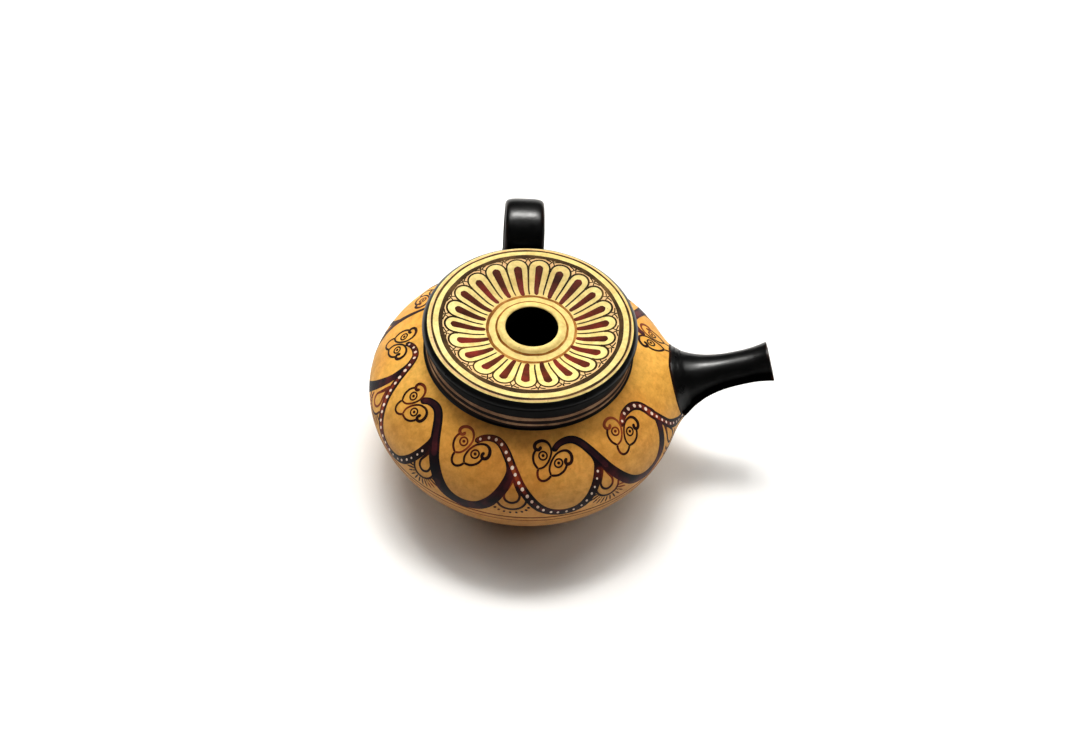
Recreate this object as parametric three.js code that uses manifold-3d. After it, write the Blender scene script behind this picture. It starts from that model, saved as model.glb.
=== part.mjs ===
// Spouted flask of painted earthenware: round belly, low collar with a dished mouth plate,
// slender spout on +X and an upright strap handle on +Y.
// Millimetres, +Z up. The origin lies on the vessel's axis, on the flat underside of the foot.
import * as THREE from "three";
import { mergeVertices } from "three/addons/utils/BufferGeometryUtils.js";
import Module from "manifold-3d";

const wasm = await Module();
wasm.setup();

// Foot: a low turned disc
const FOOT_RADIUS = 34.5;
const FOOT_UNDERCUT = 1.5;
const FOOT_HEIGHT = 4;
const FOOT_EDGE_BEVEL = 0.8;

// Belly: two thrown halves that meet at the widest girth
const BELLY_RADIUS = 55.5;
const BELLY_HEIGHT = 33.3;
const BOWL_BASE_RADIUS = 36.5;
const BOWL_FLOOR = 5;
const BOWL_FULLNESS = 2;
const SHOULDER_RISE = 20.2;
const SHOULDER_FULLNESS = 1.75;
const BODY_WALL = 4;

// Collar: a low wall that leans in as it rises
const COLLAR_BASE_RADIUS = 36;
const COLLAR_TAPER = 1.4;
const COLLAR_HOLLOWNESS = 1.3;
const COLLAR_HEIGHT = 9;
const COLLAR_WALL = 3.6;

// Mouth plate: a shallow dish inside a rolled lip
const LIP_OVERHANG = 2.5;
const LIP_HEIGHT = 2.3;
const RIM_INSET = 1.1;
const RIM_HEIGHT = 4.1;
const RIM_BAND_WIDTH = 5.1;
const DISH_CREST_RISE = 0.3;
const DISH_DEPTH = 3.5;
const DISH_FLOOR_WIDTH = 2.9;
const PLATE_THICKNESS = 4;

// Raised ring round the filling hole
const HOLE_RADIUS = 9.1;
const HOLE_RING_WIDTH = 3.3;
const HOLE_RING_HEIGHT = 1.5;
const HOLE_RING_EDGE = 0.4;

// Spout: a trumpet whose axis leaves the belly near its widest girth
const SPOUT_ANGLE = THREE.MathUtils.degToRad(18.4);
const SPOUT_ROOT_LIFT = 1.2;
const SPOUT_LENGTH = 33.3;
const SPOUT_TIP_RADIUS = 7.25;
const SPOUT_TIP_FLARE = 2.2;
const SPOUT_WAIST_RADIUS = 6.1;
const SPOUT_WAIST_FROM_TIP = 10;
const SPOUT_ROOT_RADIUS = 12.3;
const SPOUT_ROOT_FLARE = 2.65;
const SPOUT_WALL = 1.7;
const SPOUT_HOLE_LEDGE = 2.8;

// Handle: a strap bent into a ring with an upright front leg, set slightly askew
const HANDLE_WIDTH = 14.3;
const HANDLE_THICKNESS = 5;
const HANDLE_RISE = 4.5;
const HANDLE_KNEE_INNER_RADIUS = 8;
const HANDLE_BACK_INNER_RADIUS = 12;
const HANDLE_KNEE_TURN = THREE.MathUtils.degToRad(135);
const HANDLE_BACK_TURN = THREE.MathUtils.degToRad(120);
const HANDLE_SKEW = THREE.MathUtils.degToRad(3);
const HANDLE_EDGE_ROUNDING = 2;

// Fits
const SEAM_GAP = 0.3;
const LIP_TO_HANDLE = 0.9;

// Facets
const ROUND_SEGMENTS = 40;
const SPOUT_SEGMENTS = 28;
const PROFILE_STEPS = 8;
const EDGE_STEPS = 2;

// Radii and heights that follow from the sizes above
const COLLAR_TOP_RADIUS = COLLAR_BASE_RADIUS - COLLAR_TAPER;
const NECK_RADIUS = COLLAR_TOP_RADIUS - COLLAR_WALL;
const LIP_RADIUS = COLLAR_TOP_RADIUS + LIP_OVERHANG;
const RIM_RADIUS = LIP_RADIUS - RIM_INSET;
const HOLE_RING_RADIUS = HOLE_RADIUS + HOLE_RING_WIDTH;
const DISH_CREST_RADIUS = RIM_RADIUS - RIM_BAND_WIDTH;
const DISH_FLOOR_RADIUS = HOLE_RING_RADIUS + DISH_FLOOR_WIDTH;
const SPOUT_HOLE_RADIUS = SPOUT_ROOT_RADIUS - SPOUT_WALL - SPOUT_HOLE_LEDGE;
const COLLAR_BASE = BELLY_HEIGHT + SHOULDER_RISE;
const COLLAR_TOP = COLLAR_BASE + COLLAR_HEIGHT;
const RIM = COLLAR_TOP + RIM_HEIGHT;
const DISH_FLOOR = RIM - DISH_DEPTH;

// Each half of the belly is a superellipse: its semi-axis is set by the ring that it has to pass through
function semiAxis(rise, radius, fullness) {
  const share = Math.pow(radius / BELLY_RADIUS, fullness);
  return rise / Math.pow(1 - share, 1 / fullness);
}
const BOWL_DROP = BELLY_HEIGHT - FOOT_HEIGHT;
const BOWL_DEPTH = semiAxis(BOWL_DROP, BOWL_BASE_RADIUS, BOWL_FULLNESS);
const SHOULDER_HEIGHT = semiAxis(SHOULDER_RISE, COLLAR_BASE_RADIUS, SHOULDER_FULLNESS);

const at = (radius, height) => new THREE.Vector2(radius, height);

// Fired clay and black slip
function clay() {
  return new THREE.MeshStandardMaterial({ color: 0xd6a053, roughness: 0.6, metalness: 0 });
}
function blackSlip() {
  return new THREE.MeshStandardMaterial({ color: 0x16110e, roughness: 0.35, metalness: 0 });
}

// Points of f(0) to f(1), both ends included
function sample(f, steps) {
  return Array.from({ length: steps + 1 }, (_, i) => f(i / steps));
}

// Superellipse from the girth to a height above it, as points (radius, height above the girth)
function bulge(radius, height, fullness, rise) {
  const end = Math.asin(Math.pow(rise / height, fullness / 2));
  return sample((t) => {
    const r = radius * Math.pow(Math.abs(Math.cos(t * end)), 2 / fullness);
    return at(r, height * Math.pow(Math.sin(t * end), 2 / fullness));
  }, PROFILE_STEPS);
}

// Outer curve of each half, grown by a gap, from the girth to the collar and from the girth to the foot
function upperCurve(gap) {
  const points = bulge(BELLY_RADIUS + gap, SHOULDER_HEIGHT + gap, SHOULDER_FULLNESS, SHOULDER_RISE);
  return points.map((p) => at(p.x, BELLY_HEIGHT + p.y));
}
function lowerCurve(gap) {
  const points = bulge(BELLY_RADIUS + gap, BOWL_DEPTH + gap, BOWL_FULLNESS, BOWL_DROP);
  return points.map((p) => at(p.x, BELLY_HEIGHT - p.y));
}

// Solid of revolution about Z. The points (radius, height) run round the section with the solid on
// their left, and either close on themselves or start and end on the axis.
function turned(points, segments = ROUND_SEGMENTS) {
  const onAxis = points[0].x === 0;
  const section = onAxis ? points : [...points, points[0]];
  const geometry = new THREE.LatheGeometry(section, segments);
  geometry.rotateX(Math.PI / 2);
  return geometry;
}

// Booleans on closed meshes
function toSolid(geometry) {
  const bare = geometry.clone();
  bare.deleteAttribute("normal");
  bare.deleteAttribute("uv");
  const merged = mergeVertices(bare);
  const corners = merged.index.array;
  const kept = [];
  for (let i = 0; i < corners.length; i += 3) {
    const [a, b, c] = corners.slice(i, i + 3);
    if (a !== b && b !== c && c !== a) kept.push(a, b, c);
  }
  const vertProperties = new Float32Array(merged.attributes.position.array);
  const triVerts = new Uint32Array(kept);
  return new wasm.Manifold(new wasm.Mesh({ numProp: 3, vertProperties, triVerts }));
}
function cut(geometry, ...tools) {
  const solid = tools.reduce((left, tool) => left.subtract(toSolid(tool)), toSolid(geometry));
  const mesh = solid.getMesh();
  const result = new THREE.BufferGeometry();
  result.setAttribute("position", new THREE.BufferAttribute(new Float32Array(mesh.vertProperties), 3));
  result.setIndex(new THREE.BufferAttribute(new Uint32Array(mesh.triVerts), 1));
  result.computeVertexNormals();
  return result;
}

// Whole belly as one filled solid, grown all round by a gap
function filledBelly(gap) {
  const outline = [...lowerCurve(gap).reverse(), ...upperCurve(gap).slice(1)];
  return turned([at(0, FOOT_HEIGHT), ...outline, at(0, COLLAR_BASE)]);
}

// Hollow inside each half of the belly. It passes the girth a little, so that the cut is clean there.
function shoulderCavity() {
  const height = SHOULDER_HEIGHT - BODY_WALL;
  const dome = bulge(BELLY_RADIUS - BODY_WALL, height, SHOULDER_FULLNESS, height);
  const skirt = at(BELLY_RADIUS - BODY_WALL, BELLY_HEIGHT - BODY_WALL);
  const points = dome.slice(0, -1).map((p) => at(p.x, BELLY_HEIGHT + p.y));
  return turned([at(0, skirt.y), skirt, ...points, at(0, BELLY_HEIGHT + height)]);
}
function bowlCavity() {
  const basin = bulge(BELLY_RADIUS - BODY_WALL, BOWL_DEPTH - BODY_WALL, BOWL_FULLNESS, BOWL_DROP - BOWL_FLOOR);
  const skirt = at(BELLY_RADIUS - BODY_WALL, BELLY_HEIGHT + BODY_WALL);
  const points = basin.map((p) => at(p.x, BELLY_HEIGHT - p.y)).reverse();
  return turned([at(0, FOOT_HEIGHT + BOWL_FLOOR), ...points, skirt, at(0, skirt.y)]);
}

// Place of the spout: its local +Z runs from the belly's surface to the tip
function alongSpout(geometry) {
  geometry.rotateY(Math.PI / 2 - SPOUT_ANGLE);
  geometry.translate(BELLY_RADIUS, 0, BELLY_HEIGHT + SPOUT_ROOT_LIFT);
  return geometry;
}

// Outer radius of the spout at a distance back from its tip
function spoutRadius(fromTip) {
  const pastWaist = fromTip - SPOUT_WAIST_FROM_TIP;
  if (pastWaist < 0) {
    const share = Math.pow(-pastWaist / SPOUT_WAIST_FROM_TIP, SPOUT_TIP_FLARE);
    return THREE.MathUtils.lerp(SPOUT_WAIST_RADIUS, SPOUT_TIP_RADIUS, share);
  }
  const share = Math.pow(Math.min(pastWaist / (SPOUT_LENGTH - SPOUT_WAIST_FROM_TIP), 1), SPOUT_ROOT_FLARE);
  return THREE.MathUtils.lerp(SPOUT_WAIST_RADIUS, SPOUT_ROOT_RADIUS, share);
}

// Hole through the belly's wall under the spout
function spoutHole() {
  const length = 2 * (BODY_WALL + SPOUT_ROOT_RADIUS);
  const hole = new THREE.CylinderGeometry(SPOUT_HOLE_RADIUS, SPOUT_HOLE_RADIUS, length, SPOUT_SEGMENTS);
  hole.rotateX(Math.PI / 2);
  return alongSpout(hole);
}

function footGeometry() {
  return turned([
    at(0, 0),
    at(FOOT_RADIUS - FOOT_EDGE_BEVEL, 0),
    at(FOOT_RADIUS, FOOT_EDGE_BEVEL),
    at(FOOT_RADIUS - FOOT_UNDERCUT, FOOT_HEIGHT),
    at(0, FOOT_HEIGHT),
  ]);
}

function bowlGeometry() {
  const filled = turned([at(0, FOOT_HEIGHT), ...lowerCurve(0).reverse(), at(0, BELLY_HEIGHT)]);
  return cut(filled, bowlCavity(), spoutHole());
}

function shoulderGeometry() {
  const filled = turned([at(0, BELLY_HEIGHT), ...upperCurve(0), at(0, COLLAR_BASE)]);
  const neck = new THREE.CylinderGeometry(NECK_RADIUS, NECK_RADIUS, 2 * SHOULDER_RISE, ROUND_SEGMENTS);
  neck.rotateX(Math.PI / 2);
  neck.translate(0, 0, COLLAR_BASE);
  return cut(filled, shoulderCavity(), neck, spoutHole());
}

function collarGeometry() {
  const wall = sample((t) => {
    const lean = COLLAR_TAPER * Math.pow(t, COLLAR_HOLLOWNESS);
    return at(COLLAR_BASE_RADIUS - lean, COLLAR_BASE + t * COLLAR_HEIGHT);
  }, PROFILE_STEPS / 2);
  return turned([...wall, at(NECK_RADIUS, COLLAR_TOP), at(NECK_RADIUS, COLLAR_BASE)]);
}

function mouthPlateGeometry() {
  const lip = new THREE.SplineCurve([
    at(COLLAR_TOP_RADIUS, COLLAR_TOP),
    at(LIP_RADIUS, COLLAR_TOP + LIP_HEIGHT),
    at(RIM_RADIUS, RIM),
  ]);
  // The dish falls from its crest to its floor along half a cosine wave
  const dish = sample((t) => {
    const fall = (1 - Math.cos(Math.PI * t)) / 2;
    const r = THREE.MathUtils.lerp(DISH_CREST_RADIUS, DISH_FLOOR_RADIUS, t);
    return at(r, THREE.MathUtils.lerp(RIM + DISH_CREST_RISE, DISH_FLOOR, fall));
  }, PROFILE_STEPS);
  const underside = DISH_FLOOR - PLATE_THICKNESS;
  return turned([
    ...lip.getPoints(PROFILE_STEPS),
    ...dish,
    at(HOLE_RADIUS, DISH_FLOOR),
    at(HOLE_RADIUS, underside),
    at(DISH_FLOOR_RADIUS, underside),
    at(NECK_RADIUS - SEAM_GAP, COLLAR_TOP),
  ]);
}

function holeRingGeometry() {
  const dome = new THREE.QuadraticBezierCurve(
    at(HOLE_RING_RADIUS, DISH_FLOOR + HOLE_RING_EDGE),
    at(HOLE_RADIUS + HOLE_RING_WIDTH / 3, DISH_FLOOR + HOLE_RING_HEIGHT),
    at(HOLE_RADIUS, DISH_FLOOR + HOLE_RING_HEIGHT),
  );
  return turned([
    at(HOLE_RADIUS, DISH_FLOOR),
    at(HOLE_RING_RADIUS, DISH_FLOOR),
    ...dome.getPoints(PROFILE_STEPS / 2),
  ]);
}

// The spout's tube starts inside the belly and is cut off by its surface
function spoutGeometry() {
  const length = SPOUT_LENGTH + SPOUT_ROOT_RADIUS;
  const section = (inset) => (t) => at(spoutRadius(t * length) - inset, SPOUT_LENGTH - t * length);
  const outside = sample(section(0), 2 * PROFILE_STEPS).reverse();
  const bore = sample(section(SPOUT_WALL), 2 * PROFILE_STEPS);
  const tube = turned([...outside, ...bore], SPOUT_SEGMENTS);
  return cut(alongSpout(tube), filledBelly(SEAM_GAP));
}

// The handle's side outline: x runs outward from the vessel's axis and y is height
function handleGeometry() {
  const front = Math.max(LIP_RADIUS, COLLAR_BASE_RADIUS) + LIP_TO_HANDLE;
  const kneeRadius = HANDLE_KNEE_INNER_RADIUS + HANDLE_THICKNESS;
  const backRadius = HANDLE_BACK_INNER_RADIUS + HANDLE_THICKNESS;
  const kneeEnd = Math.PI - HANDLE_KNEE_TURN;
  const backEnd = kneeEnd - HANDLE_BACK_TURN;
  const knee = at(front + kneeRadius, RIM + HANDLE_RISE - kneeRadius);
  const reach = backRadius - kneeRadius;
  const back = at(knee.x - reach * Math.cos(kneeEnd), knee.y - reach * Math.sin(kneeEnd));
  const side = new THREE.Shape();
  side.moveTo(front, BELLY_HEIGHT);
  side.lineTo(front, knee.y);
  side.absarc(knee.x, knee.y, kneeRadius, Math.PI, kneeEnd, true);
  side.absarc(back.x, back.y, backRadius, kneeEnd, backEnd, true);
  side.absarc(back.x, back.y, HANDLE_BACK_INNER_RADIUS, backEnd, kneeEnd, false);
  side.absarc(knee.x, knee.y, HANDLE_KNEE_INNER_RADIUS, kneeEnd, Math.PI, false);
  side.lineTo(front + HANDLE_THICKNESS, BELLY_HEIGHT);
  const strap = new THREE.ExtrudeGeometry(side, {
    depth: HANDLE_WIDTH - 2 * HANDLE_EDGE_ROUNDING,
    steps: 1,
    curveSegments: PROFILE_STEPS,
    bevelSize: HANDLE_EDGE_ROUNDING,
    bevelThickness: HANDLE_EDGE_ROUNDING,
    bevelOffset: -HANDLE_EDGE_ROUNDING,
    bevelSegments: EDGE_STEPS,
  });
  strap.translate(0, 0, HANDLE_EDGE_ROUNDING - HANDLE_WIDTH / 2);
  strap.rotateX(Math.PI / 2);
  strap.rotateZ(Math.PI / 2);
  const legMiddle = front + HANDLE_THICKNESS / 2;
  strap.translate(0, -legMiddle, 0);
  strap.rotateZ(-HANDLE_SKEW);
  strap.translate(0, legMiddle, 0);
  return cut(strap, filledBelly(SEAM_GAP));
}

const flask = new THREE.Group();
function add(name, geometry, material) {
  const mesh = new THREE.Mesh(geometry, material);
  mesh.name = name;
  flask.add(mesh);
}
add("foot", footGeometry(), clay());
add("bowl", bowlGeometry(), clay());
add("shoulder", shoulderGeometry(), clay());
add("collar", collarGeometry(), blackSlip());
add("mouth_plate", mouthPlateGeometry(), clay());
add("hole_ring", holeRingGeometry(), clay());
add("spout", spoutGeometry(), blackSlip());
add("handle", handleGeometry(), blackSlip());

export default flask;
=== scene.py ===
"""Looks of the spouted flask: smooth thrown and pulled clay, black slip, and the painted frieze and rosette.

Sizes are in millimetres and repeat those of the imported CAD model, in its frame: +Z up, spout on +X, handle on +Y.
Meshes are made in metres. Painted lines are thin closed films that lie on the clay.
"""

from bisect import bisect_right
from math import asin, atan2, copysign, cos, hypot, pi, radians, sin, sqrt, tan

import bmesh
import bpy
from mathutils import Matrix, Vector


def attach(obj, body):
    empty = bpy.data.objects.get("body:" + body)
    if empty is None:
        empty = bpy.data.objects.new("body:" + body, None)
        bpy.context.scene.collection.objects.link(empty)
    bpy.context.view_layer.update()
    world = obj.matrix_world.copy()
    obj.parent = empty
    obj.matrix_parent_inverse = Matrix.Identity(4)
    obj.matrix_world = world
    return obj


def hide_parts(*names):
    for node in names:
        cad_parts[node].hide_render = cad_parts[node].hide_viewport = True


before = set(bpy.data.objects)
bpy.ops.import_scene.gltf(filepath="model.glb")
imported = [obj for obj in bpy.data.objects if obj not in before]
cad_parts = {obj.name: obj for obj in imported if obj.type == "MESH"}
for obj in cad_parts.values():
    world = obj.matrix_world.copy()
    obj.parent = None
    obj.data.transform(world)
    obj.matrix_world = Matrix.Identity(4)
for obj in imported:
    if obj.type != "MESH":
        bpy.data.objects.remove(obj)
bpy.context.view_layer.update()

MM = 0.001
TURN = 2 * pi
# Sides of turned forms and of rings round them
SIDES = 192

# Belly
BELLY_RADIUS, BELLY_HEIGHT = 55.5, 33.3
SHOULDER_HEIGHT, SHOULDER_FULLNESS, SHOULDER_RISE = 28.99, 1.75, 20.2
BOWL_DEPTH, BOWL_DROP = 38.9, 29.3
BODY_WALL, FOOT_HEIGHT = 4.0, 4.0
# Collar and mouth plate
COLLAR_BASE, COLLAR_HEIGHT, COLLAR_RADIUS, COLLAR_TAPER, NECK_RADIUS = 53.5, 9.0, 36.0, 1.4, 31.0
CREST_RADIUS, CREST, FLOOR_RADIUS, DISH_FLOOR, HOLE_RADIUS = 30.9, 66.9, 15.3, 63.1, 9.1
# Spout
SPOUT_ROOT, SPOUT_ANGLE, SPOUT_LENGTH = Vector((55.5, 0, 34.5)), radians(18.4), 33.3
SPOUT_TIP, SPOUT_WAIST, SPOUT_END, SPOUT_WAIST_AT, SPOUT_WALL = 7.25, 6.1, 12.3, 10.0, 1.7
SPOUT_HOLE = 7.8
# Its flare leaves the tube this far along it, and runs out into the belly this far from its axis, above and below
FLARE_FROM, FLARE_REACH = (3.5, 9.0), (24.0, 14.5)
# The flare is worked out at so many angles round the spout's axis, and at these radii
SPOUT_SIDES = 96
SWELL_RADII = [10.5 + i / 2 for i in range(28)]
# Handle: centre line of the strap in the plane of Y and Z
STRAP_WIDTH, STRAP_THICKNESS, STRAP_FRONT, STRAP_SKEW = 14.3, 5.0, 40.5, radians(3)
KNEE, KNEE_RADIUS = (51.0, 58.1), 10.5
BACK, BACK_RADIUS = (48.17, 55.27), 14.5
# Made by hand: how far the filling hole is off the middle, and how much wider the belly is along X
HOLE_SHIFT, BELLY_WIDENING = 0.5, 0.012
# Height above which a place is on the mouth plate, and depth of the clay under the spout's slip
PLATE_FROM, SLIP_SINK = 58.0, 1.6


def lerp(a, b, t):
    return a + (b - a) * t


def smooth(t):
    t = min(max(t, 0.0), 1.0)
    return t * t * (3 - 2 * t)


def spaced(a, b, count):
    """Numbers from a to b in that many equal steps."""
    return [lerp(a, b, i / count) for i in range(count + 1)]


def turns(count):
    """Angles of that many equal steps round a circle."""
    return [TURN * i / count for i in range(count)]


def between(a, b, count):
    """Faces between two closed rings of that many vertices, which start at a and at b."""
    return [(a + i, b + i, b + (i + 1) % count, a + (i + 1) % count) for i in range(count)]


def spline(points, steps):
    """Catmull-Rom curve through the points, with that many steps between neighbours."""
    ends = [points[0], *points, points[-1]]
    out = []
    for p0, p1, p2, p3 in zip(ends, ends[1:], ends[2:], ends[3:]):
        for t in spaced(0, 1, steps)[:-1]:
            out.append(tuple(
                0.5 * (2 * b + (c - a) * t + (2 * a - 5 * b + 4 * c - d) * t**2 + (3 * b - a - 3 * c + d) * t**3)
                for a, b, c, d in zip(p0, p1, p2, p3)))
    return out + [tuple(points[-1])]


def running(points):
    """Lengths along a line from its start, by the first two coordinates of its points."""
    total = [0.0]
    for a, b in zip(points, points[1:]):
        total.append(total[-1] + hypot(b[0] - a[0], b[1] - a[1]))
    return total


# Profiles, as points (radius, height)


def superellipse(radius, height, fullness, rise, steps):
    end = asin((rise / height) ** (fullness / 2))
    return [(radius * cos(a) ** (2 / fullness), height * sin(a) ** (2 / fullness)) for a in spaced(0, end, steps)]


def belly_profile(inset, steps):
    """From the collar over the girth to the foot, at a depth below the surface."""
    upper = superellipse(BELLY_RADIUS - inset, SHOULDER_HEIGHT - inset, SHOULDER_FULLNESS, SHOULDER_RISE, steps)
    lower = superellipse(BELLY_RADIUS - inset, BOWL_DEPTH - inset, 2, BOWL_DROP, steps)
    return ([(r, BELLY_HEIGHT + h) for r, h in reversed(upper)]
            + [(r, BELLY_HEIGHT - h) for r, h in lower[1:]])


def outside_belly(p, inset=0.0):
    """Above zero outside the belly, below zero inside it."""
    r, h = hypot(p[0], p[1]) / (BELLY_RADIUS - inset), p[2] - BELLY_HEIGHT
    n, half = (SHOULDER_FULLNESS, SHOULDER_HEIGHT) if h > 0 else (2, BOWL_DEPTH)
    return r**n + (abs(h) / (half - inset)) ** n - 1


def mouth_profile():
    """Visible top of the mouth, from the hole's edge over the dish, the rim and the lip to the collar."""
    boss = spline([(HOLE_RADIUS, 64.0), (9.22, 64.25), (9.6, 64.4), (10.3, 64.4), (11.0, 64.2), (11.6, 63.8),
                   (12.2, 63.4), (12.9, 63.17), (14.3, 63.1)], 6)
    dish = [(lerp(FLOOR_RADIUS, CREST_RADIUS, t), lerp(DISH_FLOOR, CREST, (1 - cos(pi * t)) / 2))
            for t in spaced(0, 1, 40)]
    rim = spline([(33.0, 66.86), (34.3, 66.72), (35.2, 66.4), (35.95, 65.9), (36.6, 65.25), (37.0, 64.6),
                  (37.1, 64.1), (36.9, 63.6), (36.2, 63.0), (35.2, 62.6), (34.1, 62.2)], 8)
    return boss + dish + rim


class Chart:
    """A surface of revolution laid out flat: angle round the axis, and length down the profile in millimetres."""

    def __init__(self, profile):
        self.points, self.lengths = profile, running(profile)

    def ring(self, s):
        """Radius, height and outward direction at a length down the profile."""
        s = min(max(s, 0.0), self.lengths[-1])
        i = min(bisect_right(self.lengths, s), len(self.lengths) - 1)
        (r0, z0), (r1, z1) = self.points[i - 1], self.points[i]
        span = self.lengths[i] - self.lengths[i - 1]
        t = (s - self.lengths[i - 1]) / span
        return lerp(r0, r1, t), lerp(z0, z1, t), (z0 - z1) / span, (r1 - r0) / span

    def at(self, angle, s, lift):
        r, z, out, up = self.ring(s)
        r += lift * out
        return Vector((r * cos(angle), r * sin(angle), z + lift * up))

    def length_at(self, radius):
        """Length down the profile where it first reaches a radius."""
        i = next(i for i, (r, _) in enumerate(self.points) if r >= radius)
        (r0, _), (r1, _) = self.points[i - 1], self.points[i]
        return lerp(self.lengths[i - 1], self.lengths[i], (radius - r0) / (r1 - r0))

    def nearest(self, p):
        """Angle and length of the place on the surface nearest to a point."""
        r = hypot(p[0], p[1])
        _, s = min((hypot(a - r, b - p[2]), s) for (a, b), s in zip(self.points, self.lengths))
        return atan2(p[1], p[0]), s


BELLY = Chart(belly_profile(0, 400))
MOUTH = Chart(mouth_profile())
COLLAR = Chart([(COLLAR_RADIUS - COLLAR_TAPER * t**1.3, COLLAR_BASE + COLLAR_HEIGHT * t)
                for t in spaced(1, 0, 60)])


# Spout


def spout_point(distance, radius, angle):
    """A place beside the spout's axis: how far along it, how far from it, and the angle round it from the top."""
    c, s = cos(SPOUT_ANGLE), sin(SPOUT_ANGLE)
    side = Vector((-s * cos(angle), sin(angle), c * cos(angle)))
    return SPOUT_ROOT + Vector((c, 0, s)) * distance + side * radius


def spout_radius(distance):
    back = SPOUT_LENGTH - distance - SPOUT_WAIST_AT
    if back < 0:
        return lerp(SPOUT_WAIST, SPOUT_TIP, (-back / SPOUT_WAIST_AT) ** 2.2)
    return lerp(SPOUT_WAIST, SPOUT_END, (back / (SPOUT_LENGTH - SPOUT_WAIST_AT)) ** 2.65)


def belly_along(radius, angle, inset=0.0):
    """How far along the spout a line beside its axis leaves the belly."""
    low, high = -30.0, SPOUT_LENGTH / 2
    for _ in range(40):
        middle = (low + high) / 2
        low, high = (low, middle) if outside_belly(spout_point(middle, radius, angle), inset) > 0 else (middle, high)
    return high


def flare(angle):
    """Curve of the spout's root as (distance, radius): it leaves the tube smoothly and runs out into the belly."""
    below = smooth((-cos(angle) - 0.1) / 0.8)
    leaves, reach = lerp(*FLARE_FROM, below), lerp(*FLARE_REACH, below)
    start = Vector((leaves, spout_radius(leaves)))
    end = Vector((belly_along(reach, angle), reach))
    size = (end - start).length
    leave = Vector((-0.05, spout_radius(leaves - 0.05) - start[1])).normalized() * size
    arrive = Vector((belly_along(reach + 0.1, angle) - end[0], 0.1)).normalized() * size
    return [start * (2 * t**3 - 3 * t**2 + 1) + leave * (t**3 - 2 * t**2 + t)
            + end * (3 * t**2 - 2 * t**3) + arrive * (t**3 - t**2) for t in spaced(0, 1, 48)]


def crossing(curve, key, value):
    """Point of a curve where one of its coordinates passes a value."""
    a, b = next((a, b) for a, b in zip(curve, curve[1:]) if (a[key] - value) * (b[key] - value) <= 0)
    return a.lerp(b, (value - a[key]) / (b[key] - a[key]))


def slip_end(angle):
    """How far along the spout its black slip ends."""
    return -1.15 + 0.8 * smooth((cos(angle - 0.9) - 0.35) / 0.5)


SPOUT_TURNS = turns(SPOUT_SIDES)
FLARES = [flare(angle) for angle in SPOUT_TURNS]
SLIP_RADII = [crossing(curve, 0, slip_end(angle))[1] for angle, curve in zip(SPOUT_TURNS, FLARES)]
# How far the clay swells out to the spout, at each angle and radius
SWELL = [[crossing(curve, 1, r)[0] - belly_along(r, angle) if r < curve[-1][1] else 0.0 for r in SWELL_RADII]
         for angle, curve in zip(SPOUT_TURNS, FLARES)]


def widened(x, z):
    """The belly is a little wide along X."""
    return x * (1 + BELLY_WIDENING * smooth((40 - z) / 14) * smooth((z - 3) / 8))


def thrown(p):
    """A place on the plain turned form, moved to the form as made by hand.

    The filling hole is off the middle, and the belly is a little wide along X and drawn out to the spout. It lies
    deeper under the spout's black slip.
    """
    x, y, z = p
    if z > PLATE_FROM:
        return Vector((x + HOLE_SHIFT * smooth((19 - hypot(x, y)) / 6), y, z))
    x = widened(x, z)
    c, s = cos(SPOUT_ANGLE), sin(SPOUT_ANGLE)
    off = Vector((x, y, z)) - SPOUT_ROOT
    up = c * off[2] - s * off[0]
    radius = hypot(up, y)
    if radius >= FLARE_REACH[0] or x < 0:
        return Vector((x, y, z))
    turn = (atan2(y, up) % TURN) / TURN * SPOUT_SIDES
    k, share = int(turn) % SPOUT_SIDES, turn % 1
    after = (k + 1) % SPOUT_SIDES
    place = min(max(2 * (radius - SWELL_RADII[0]), 0), len(SWELL_RADII) - 1.01)
    row, part = int(place), place % 1
    rise = lerp(*(lerp(SWELL[j][row], SWELL[j][row + 1], part) for j in (k, after)), share)
    rise *= smooth((radius - 8) / 2.5)
    rise -= SLIP_SINK * smooth((lerp(SLIP_RADII[k], SLIP_RADII[after], share) - 0.8 - radius) / 1.2)
    return Vector((x + c * rise, y, z + s * rise))


# Materials


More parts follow.
